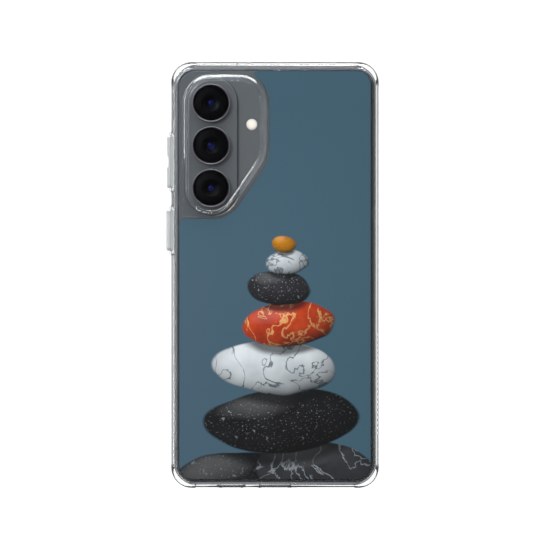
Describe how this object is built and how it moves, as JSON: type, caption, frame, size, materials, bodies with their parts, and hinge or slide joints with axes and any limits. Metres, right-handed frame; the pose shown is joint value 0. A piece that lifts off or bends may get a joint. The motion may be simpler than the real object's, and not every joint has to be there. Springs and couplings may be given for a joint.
{
  "type": "smartphone in clear protective case",
  "caption": "Slim smartphone lying on its screen in a clear bumper case, with a camera window, soft side key covers, a charging-port cut-out and a printed back.",
  "frame": {"origin": "centre of the object's footprint, on the surface that the case's front lip lies on", "axes": "+X to the right when looking at the back, +Y along the phone towards its camera end, +Z out of the back"},
  "size_m": [0.0762, 0.1526, 0.011],
  "materials": {
    "anodised_frame": "satin anodised grey",
    "frosted_back_glass": "frosted grey, opaque",
    "screen_glass": "polished, black when off",
    "lens_glass": "polished, dark",
    "lens_coating": "blue anti-reflection coating",
    "lens_barrel": "matt black",
    "lens_ring": "polished grey anodised",
    "flash_diffuser": "warm white, translucent",
    "port_steel": "bare",
    "port_plastic": "matt black",
    "clear_soft_plastic": "clear, soft, smooth",
    "clear_hard_plastic": "clear, hard, polished",
    "printed_ink": "satin ink, slate blue ground with a pebble pattern"
  },
  "bodies": {
    "phone_in_case": {"phone_frame": "anodised_frame", "back_glass": "frosted_back_glass", "screen_glass": "screen_glass", "front_camera": "lens_glass", "camera_plateau": "frosted_back_glass", "lens_module_1": "lens_barrel", "lens_element_1": "lens_coating", "lens_glass_1": "lens_glass", "lens_ring_1": "lens_ring", "lens_module_2": "lens_barrel", "lens_element_2": "lens_coating", "lens_glass_2": "lens_glass", "lens_ring_2": "lens_ring", "lens_module_3": "lens_barrel", "lens_element_3": "lens_coating", "lens_glass_3": "lens_glass", "lens_ring_3": "lens_ring", "flash_lens": "flash_diffuser", "port_shell": "port_steel", "port_tongue": "port_plastic", "speaker_grille": "port_plastic", "sim_tray": "anodised_frame", "case_bumper": "clear_soft_plastic", "case_back_plate": "clear_hard_plastic", "case_print": "printed_ink"},
    "volume_button": {"volume_key": "anodised_frame", "case_volume_cover": "clear_soft_plastic"},
    "power_button": {"power_key": "anodised_frame", "case_power_cover": "clear_soft_plastic"}
  },
  "joints": [
    {"name": "volume_press", "type": "slide", "parent": "phone_in_case", "child": "volume_button", "axis": [1, 0, 0], "range_m": [0, 0.00025], "stiffness_N_per_m": 2000},
    {"name": "power_press", "type": "slide", "parent": "phone_in_case", "child": "power_button", "axis": [1, 0, 0], "range_m": [0, 0.00025], "stiffness_N_per_m": 2000}
  ]
}
